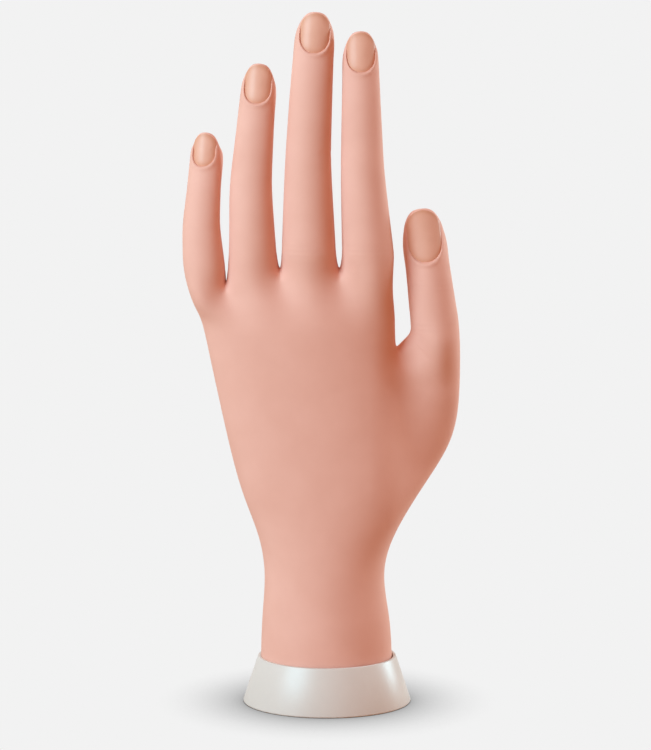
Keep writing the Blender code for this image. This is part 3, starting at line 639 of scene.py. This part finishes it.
# The thumb grows out of an opening in the palm's edge.
low, mid, high = levels[THUMB_LEVEL - 1:THUMB_LEVEL + 2]
opening = [(high, 0), (high, -1), (mid, -1), (low, -1), (low, 0), (low, 1), (mid, 1), (high, 1)]
ring = [level[THUMB_EDGE + step] for level, step in opening]
bmesh.ops.delete(bm, geom=[mid[THUMB_EDGE]], context="VERTS")
for middle, lean, half_width, half_depth, dip, fill in THENAR_RINGS:
    along = Vector((math.sin(math.radians(lean)), 0.0, math.cos(math.radians(lean))))
    side, back = THUMB.axes(along)
    points = ring_points(middle, side, back, half_width, half_depth)
    points[0] += Vector((fill[0], 0.0, fill[1]))
    points[1] -= back * dip
    ring = grow(bm, ring, points)
for points, length in finger_rings(THUMB, THUMB.centres[0].z):
    ring = grow(bm, ring, points, mark_of(THUMB, max(1, length)))
ends.append((ring, mark_of(THUMB, len(THUMB.parts))))

for ring, mark in ends:
    bm.faces.new(ring).material_index = mark
pocket = levels[0]
for half_width, half_depth, height in WRIST_POCKET:
    pocket = grow(bm, pocket, pocket_points(half_width, half_depth, height))
bm.faces.new(pocket)
bmesh.ops.recalc_face_normals(bm, faces=bm.faces)
cage = bpy.data.meshes.new("cast_hand")
bm.to_mesh(cage)
bm.free()
cast = bpy.data.objects.new("cast_hand", cage)
scene.collection.objects.link(cast)
for name in SKIN_NAMES:
    cage.materials.append(bpy.data.materials.new(name))
soften = cast.modifiers.new("soften", "SUBSURF")
soften.levels = SMOOTH_STEPS
soften.render_levels = SMOOTH_STEPS
bpy.context.view_layer.update()
cast.data = bpy.data.meshes.new_from_object(cast.evaluated_get(bpy.context.evaluated_depsgraph_get()))
cast.modifiers.clear()
cast_mesh = cast.data

# The web beside the thumb is smoothed to a softer round.
thumb_web = Vector((THUMB_WEB_X, 0.0, at_height(THUMB_WEB_LEVEL)))
bm = bmesh.new()
bm.from_mesh(cast_mesh)
near_web = [v for v in bm.verts if math.hypot(v.co.x - thumb_web.x, v.co.z - thumb_web.z) < THUMB_WEB_REACH]
for turn in range(THUMB_WEB_ROUNDS):
    bmesh.ops.smooth_vert(bm, verts=near_web, factor=0.5, use_axis_x=True, use_axis_y=True, use_axis_z=True)
bm.to_mesh(cast_mesh)
bm.free()

# Nail beds: the plate's outline and level, the lip of skin round it, and shade painted darker into the skin
# along the nail's edge near the cuticle.
NAIL_THICKNESS = 0.0008
NAIL_SINK = 0.0003
NAIL_ARCH = 0.68
NAIL_DIP = 0.0003
NAIL_DIP_LENGTH = 0.0025
NAIL_LOW_ROUND = 1.15
NAIL_TIP_ROUND = 0.95
NAIL_INSET = 0.0004
NAIL_SIDE_ROOM = 0.0001
BED_ROOM = 0.00005
BED_WALL = 0.00025
BACK_FADE = 0.0012
LIP_HEIGHT = 0.0003
LIP_PLACE = 0.0008
LIP_WIDTH = 0.0006
LIP_FADE = (0.45, 0.8)
LIP_PAINTED_SHADE = 0.5
LIP_PAINTED_SHADE_WIDTH = 0.0005
FINGER_PAD = 0.0009
PAD_PLACE = 0.35
PAD_LENGTH = 0.0075
PAD_FADE = 0.003


def read_points(mesh):
    """The places of a mesh's vertices, a row each."""
    values = np.empty(len(mesh.vertices) * 3)
    mesh.vertices.foreach_get("co", values)
    return values.reshape(-1, 3)


def read_normals(mesh):
    """The normals of a mesh's vertices, a row each."""
    values = np.empty(len(mesh.vertices) * 3, dtype=np.float32)
    mesh.vertex_normals.foreach_get("vector", values)
    return values.reshape(-1, 3).astype(float)


def ramp(values, low, high):
    """0 below low, 1 above high and an even S between them."""
    t = np.clip((values - low) / (high - low), 0.0, 1.0)
    return t * t * (3.0 - 2.0 * t)


def bell(values, width):
    """1 at nought, falling away on both sides."""
    return np.exp(-(values / width) ** 2)


def nail_frame(digit, points):
    """Place along, across and above the last bone, seen from its joint."""
    side, back = digit.axes(digit.along)
    away = points - np.array(digit.last)
    return away @ np.array(digit.along), away @ np.array(side), away @ np.array(back)


def nail_start(digit):
    """Distance from the last joint to the nail's end under the cuticle."""
    return (digit.tip - digit.last).length - digit.nail_length


def nail_end(digit):
    """Distance from the last joint to the nail's end at the fingertip."""
    return nail_start(digit) + digit.nail_length - NAIL_INSET


def nail_half(digit):
    """Half the width of the nail's bed."""
    return digit.nail_width / 2 - NAIL_SIDE_ROOM


def end_share(along, start, end, half):
    """How far a place lies into a nail's round ends: 0 between its straight sides and 1 at either end."""
    low_end = np.maximum(0.0, 1.0 - (along - start) / (half * NAIL_LOW_ROUND))
    tip_end = np.maximum(0.0, 1.0 - (end - along) / (half * NAIL_TIP_ROUND))
    return np.maximum(low_end, tip_end)


def inside_nail(digit, along, across):
    """Distance inside the nail's outline: straight sides, round at the cuticle and at the fingertip."""
    half = nail_half(digit)
    into_end = end_share(along, nail_start(digit), nail_end(digit), half)
    return (1.0 - np.hypot(across / half, into_end)) * half


def nail_level(digit, along, across):
    """Height of the nail's face above the last bone: arched across and dipping at the cuticle."""
    arch = digit.nail_width * NAIL_ARCH
    crest = digit.widths[-1] / 2 * digit.tip_depth - NAIL_SINK
    dip = NAIL_DIP * np.clip(1.0 - (along - nail_start(digit)) / NAIL_DIP_LENGTH, 0.0, 1.0) ** 2
    return crest - arch + np.sqrt(np.maximum(arch ** 2 - across ** 2, 0.0)) - dip


points = read_points(cast_mesh)
normals = read_normals(cast_mesh)
push = np.zeros(len(points))
shift = np.zeros((len(points), 3))
# Where the cast's colour is painted darker as shade: along each nail's edge near the cuticle and along the
# palm's lines.
flush = np.zeros(len(points))
marks = np.zeros(len(points), dtype=int)
for face in cast_mesh.polygons:
    for index in face.vertices:
        marks[index] = max(marks[index], face.material_index)
for digit in DIGITS:
    mine = marks == mark_of(digit, len(digit.parts))
    along, across, above = nail_frame(digit, points[mine])
    on_back = ramp(above, 0.0, BACK_FADE)
    deep = inside_nail(digit, along, across)
    bed_level = nail_level(digit, along, across) - NAIL_THICKNESS - BED_ROOM
    bed = np.minimum(0.0, bed_level - above) * ramp(deep, -BED_WALL, BED_WALL) * on_back
    lip = bell(deep + LIP_PLACE, LIP_WIDTH) * on_back
    past_cuticle = along - nail_start(digit)
    low_part = 1.0 - ramp(past_cuticle / digit.nail_length, *LIP_FADE)
    shift[mine] = (bed + lip * low_part * LIP_HEIGHT)[:, None] * np.array(digit.axes(digit.along)[1])
    # Painted shade: the skin's colour is darkened along the nail's edge near the cuticle, where the groove
    # lies in shade.
    flush[mine] += bell(deep, LIP_PAINTED_SHADE_WIDTH) * on_back * low_part * LIP_PAINTED_SHADE
    pad = bell(past_cuticle - digit.nail_length * PAD_PLACE, PAD_LENGTH) * ramp(-above, 0.0, PAD_FADE)
    push[mine] += pad * FINGER_PAD

# Folds on the palm side of each joint, two at a finger's middle joint, and faint wrinkles on its back.
JOINT_REACH = 0.008
JOINT_SIDE = 0.62
JOINT_PALM = (-0.001, 0.004)
JOINT_BACK = (0.001, 0.005)
FOLD_DEPTH = 0.00032
FOLD_WIDTH = 0.00065
TWIN_FOLD_WIDTH = 0.00055
TWIN_FOLD_PLACE = 0.0011
WRINKLE_DEPTH = 0.00003
WRINKLE_PITCH = 0.0017
WRINKLE_REACH = 0.0035

for digit in DIGITS:
    for k, joint in enumerate(digit.centres[:-1]):
        near = np.abs(points[:, 2] - joint.z) < JOINT_REACH
        near &= np.abs(points[:, 0] - joint.x) < digit.widths[k] * JOINT_SIDE
        rise = points[near, 2] - joint.z
        on_palm = ramp(points[near, 1] - joint.y, *JOINT_PALM)
        on_back = ramp(joint.y - points[near, 1], *JOINT_BACK)
        if k == 1 and digit is not THUMB:
            folds = bell(rise - TWIN_FOLD_PLACE, TWIN_FOLD_WIDTH)
            folds += bell(rise + TWIN_FOLD_PLACE, TWIN_FOLD_WIDTH)
        else:
            folds = bell(rise, FOLD_WIDTH)
        push[near] -= folds * on_palm * FOLD_DEPTH
        wrinkles = np.cos(rise / WRINKLE_PITCH * 2.0 * math.pi) * bell(rise, WRINKLE_REACH)
        push[near] += wrinkles * on_back * WRINKLE_DEPTH

# The one crease that shows from the back: a short nick in the side of the middle finger.
NICK_RISE = 0.0026
NICK_PLACE = 0.005
NICK_TILT = 0.05
NICK_WIDTH = 0.00035
NICK_DEPTH = 0.00030
NICK_START = (0.0030, 0.0048)
NICK_END = (0.0082, 0.0090)

nick_joint = MIDDLE.centres[1]
rise = points[:, 2] - (nick_joint.z + NICK_RISE)
right = points[:, 0] - nick_joint.x
nick = bell(rise + (right - NICK_PLACE) * NICK_TILT, NICK_WIDTH) * (points[:, 1] < 0.0)
nick *= ramp(right, *NICK_START) * (1.0 - ramp(np.abs(right), *NICK_END))
push -= nick * NICK_DEPTH

# The hollow between thumb and knuckles, and the slope of the back down to the thumb.
HOLLOW_X = 0.0250
HOLLOW_Z = 0.1165
HOLLOW_WIDTH = 0.0050
HOLLOW_DEPTH = 0.0014
HOLLOW_FACE = 0.004
THENAR_SLOPE = 0.0055
SLOPE_ACROSS = (0.014, 0.042)
SLOPE_THROUGH = (-0.008, 0.010)
SLOPE_START = (0.055, 0.080)
SLOPE_END = (0.104, 0.122)
PALM_KEEPS = 0.6

on_back = ramp(-points[:, 1], 0.0, HOLLOW_FACE) * (marks == 0)
hollow = bell(np.hypot(points[:, 0] - HOLLOW_X, points[:, 2] - HOLLOW_Z), HOLLOW_WIDTH) * on_back
shift[:, 1] += hollow * HOLLOW_DEPTH
slope = ramp(points[:, 0], *SLOPE_ACROSS) * (1.0 - PALM_KEEPS * ramp(points[:, 1], *SLOPE_THROUGH))
slope *= ramp(points[:, 2], *SLOPE_START) * (1.0 - ramp(points[:, 2], *SLOPE_END))
shift[:, 1] += slope * THENAR_SLOPE

# The three lines of the palm, each as places across and up. Each is pressed in, and shade is painted darker
# along it as in a crease.
PALM_LINES = (
    ((-0.0400, 0.1165), (-0.0280, 0.1150), (-0.0120, 0.1200), (0.0020, 0.1310)),
    ((0.0215, 0.1130), (0.0080, 0.1090), (-0.0100, 0.1010), (-0.0270, 0.0930)),
    ((0.0215, 0.1120), (0.0110, 0.1040), (0.0040, 0.0880), (0.0030, 0.0700), (0.0060, 0.0560)),
)
LINE_WIDTH = 0.0010
LINE_DEPTH = 0.00040
LINE_PAINTED_SHADE = 0.35
LINE_PAINTED_SHADE_WIDTH = 0.0014
LINE_SIDE = 0.002
CORNER_CUTS = 3
CORNER_SHARE = 0.25


def rounded(line):
    """The same line of points with its corners cut until it runs smoothly."""
    for step in range(CORNER_CUTS):
        cut = [line[0]]
        for (ax, az), (bx, bz) in zip(line, line[1:]):
            for share in (CORNER_SHARE, 1.0 - CORNER_SHARE):
                cut.append((ax + (bx - ax) * share, az + (bz - az) * share))
        line = cut + [line[-1]]
    return line


def line_distance(x, z, line):
    """Distance in the palm's plane to a line of points."""
    nearest = np.full(len(x), 1.0)
    for (ax, az), (bx, bz) in zip(line, line[1:]):
        run = (bx - ax) ** 2 + (bz - az) ** 2
        share = np.clip(((x - ax) * (bx - ax) + (z - az) * (bz - az)) / run, 0.0, 1.0)
        gap = np.hypot(x - ax - share * (bx - ax), z - az - share * (bz - az))
        nearest = np.minimum(nearest, gap)
    return nearest


on_palm = (points[:, 1] > LINE_SIDE) & (marks == 0)
for line in PALM_LINES:
    gap = line_distance(points[on_palm, 0], points[on_palm, 2], rounded(line))
    push[on_palm] -= bell(gap, LINE_WIDTH) * LINE_DEPTH
    # Painted shade: the colour is darkened along each line, as in the shade of a crease.
    flush[on_palm] += bell(gap, LINE_PAINTED_SHADE_WIDTH) * LINE_PAINTED_SHADE

points += normals * push[:, None] + shift
cast_mesh.vertices.foreach_set("co", points.ravel())
cast_mesh.update()
normals = read_normals(cast_mesh)
# The painted shade goes onto the cast as a point attribute that its material reads.
painted_shade_layer = cast_mesh.attributes.new("flush", "FLOAT", "POINT")
painted_shade_layer.data.foreach_set("value", np.clip(flush, 0.0, 1.0).astype(np.float32))
order_layer = cast_mesh.attributes.new("whole_order", "INT", "POINT")
order_layer.data.foreach_set("value", np.arange(len(points), dtype=np.int32))


def add_painted_shade(look, colour, amount):
    """Mixes painted shade, a deeper tone, into a grained material where its mesh's shade attribute asks for
    it.
    """
    tree = look.node_tree
    into = shader_of(look).inputs["Base Color"]
    plain = into.links[0].from_socket
    folds = add(tree, "ShaderNodeAttribute", attribute_name="flush")
    share = add(tree, "ShaderNodeMath", operation="MULTIPLY")
    share.inputs[1].default_value = amount
    tree.links.new(folds.outputs["Fac"], share.inputs[0])
    tree.links.new(mixed_colour(tree, share.outputs[0], plain, colour), into)


soft_skin = grained_material("soft_skin", blotch_scale=70.0, grain_scale=1500.0, dark=(0.835, 0.465, 0.375),
                             light=(0.875, 0.505, 0.415), rough=(0.58, 0.70), relief=0.10)
# Painted shade: the deeper orange is mixed in where the skin's groove round each nail and the palm's lines
# would lie in shade.
add_painted_shade(soft_skin, colour=(0.70, 0.30, 0.20), amount=0.6)
shader_of(soft_skin).inputs["Sheen Weight"].default_value = 0.06
shader_of(soft_skin).inputs["Sheen Roughness"].default_value = 0.35
shader_of(soft_skin).inputs["Specular IOR Level"].default_value = 0.12

# The cast is parted into one length for each bone. Each keeps the whole hand's normals, so no seam shows.
BEND_HALF = 0.0055
END_ROOM = 0.0004

others = set(bpy.data.objects)
bpy.context.view_layer.objects.active = cast
cast.select_set(True)
bpy.ops.object.mode_set(mode="EDIT")
bpy.ops.mesh.select_all(action="SELECT")
bpy.ops.mesh.separate(type="MATERIAL")
bpy.ops.object.mode_set(mode="OBJECT")
lengths = [cast] + [o for o in bpy.data.objects if o not in others]
for length in lengths:
    mesh = length.data
    name = mesh.materials[0].name
    bm = bmesh.new()
    bm.from_mesh(mesh)
    cut = [e for e in bm.edges if e.is_boundary]
    skin_faces = len(bm.faces)
    if cut:
        bmesh.ops.holes_fill(bm, edges=cut, sides=0)
    bm.to_mesh(mesh)
    bm.free()
    mesh.materials.clear()
    mesh.materials.append(soft_skin)
    mesh.shade_smooth()
    order = np.empty(len(mesh.vertices), dtype=np.int32)
    mesh.attributes["whole_order"].data.foreach_get("value", order)
    corner = np.empty(len(mesh.loops), dtype=np.int32)
    mesh.loops.foreach_get("vertex_index", corner)
    turned = normals[order[corner]]
    for face in list(mesh.polygons)[skin_faces:]:
        turned[face.loop_start:face.loop_start + face.loop_total] = face.normal
    mesh.normals_split_custom_set(turned.tolist())
    mesh.attributes.remove(mesh.attributes["whole_order"])
    length.name = name.replace("_skin", "_cast")
    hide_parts(name)
    if name == "palm_skin":
        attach(length, "hand")
        continue
    digit = next(d for d in DIGITS if name.startswith(d.name))
    k = digit.parts.index(name.split("_")[-2])
    joint = digit.joints[k]
    low_end = min(v.co.z for v in mesh.vertices) + END_ROOM
    start = joint - UP * min(BEND_HALF, joint.z - low_end)
    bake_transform(length)

# Nails
# Each nail is a curved plate of clear-coated plastic, moulded in one thickness with rounded edges. It slips
# into a slot under the cuticle, lies in a bed as wide as itself and can be pulled out along the finger.

NAIL_OVERLAP = 0.0002
NAIL_COLUMNS = 28
NAIL_ROWS = 40
NAIL_END_WIDTH = 0.1
NAIL_EDGE_ROUND = 0.0002
NAIL_PAINTED_SHADE_WIDTH = 0.0010

nail_look = grained_material("nail_plastic", blotch_scale=120.0, grain_scale=700.0, dark=(0.80, 0.43, 0.315),
                             light=(0.85, 0.48, 0.365), rough=(0.40, 0.50), relief=0.03)
# Painted shade: the deeper orange darkens the plate towards its outline, as if shaded by the bed's walls and
# the cuticle.
add_painted_shade(nail_look, colour=(0.66, 0.29, 0.165), amount=0.55)
shader_of(nail_look).inputs["Specular IOR Level"].default_value = 0.25
shader_of(nail_look).inputs["Coat Weight"].default_value = 0.10
shader_of(nail_look).inputs["Coat Roughness"].default_value = 0.25

for digit in DIGITS:
    side, back = digit.axes(digit.along)
    start = nail_start(digit) - NAIL_OVERLAP
    end = nail_end(digit) + NAIL_OVERLAP
    half = nail_half(digit) + NAIL_OVERLAP
    bm = bmesh.new()
    bmesh.ops.create_grid(bm, x_segments=NAIL_COLUMNS, y_segments=NAIL_ROWS, size=1.0)
    for vert in bm.verts:
        along = start + (end - start) * (1.0 - math.cos((vert.co.y + 1.0) / 2.0 * math.pi)) / 2.0
        into_end = end_share(along, start, end, half)
        width = half * max(NAIL_END_WIDTH, math.sqrt(max(0.0, 1.0 - into_end ** 2)))
        across = vert.co.x * width
        lift = nail_level(digit, along, across)
        vert.co = digit.last + digit.along * along + side * across + back * lift
    bmesh.ops.recalc_face_normals(bm, faces=bm.faces)
    if sum((f.normal for f in bm.faces), Vector()).dot(back) < 0.0:
        bmesh.ops.reverse_faces(bm, faces=bm.faces)
    bmesh.ops.solidify(bm, geom=bm.faces[:], thickness=NAIL_THICKNESS)
    rim = [e for e in bm.edges if e.is_manifold and e.calc_face_angle() > SHARP_ANGLE]
    round_edges(bm, rim, NAIL_EDGE_ROUND, steps=2)
    plate = add_object(f"{digit.name}_nail_plate", bm, nail_look)
    along, across, above = nail_frame(digit, read_points(plate.data))
    # The shade is painted darkest at the plate's outline and fades inwards.
    painted_rim_shade_layer = plate.data.attributes.new("flush", "FLOAT", "POINT")
    painted_rim_shade = bell(inside_nail(digit, along, across), NAIL_PAINTED_SHADE_WIDTH)
    painted_rim_shade_layer.data.foreach_set("value", painted_rim_shade.astype(np.float32))
    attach(plate, f"{digit.name}_nail")
    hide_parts(f"{digit.name}_nail")
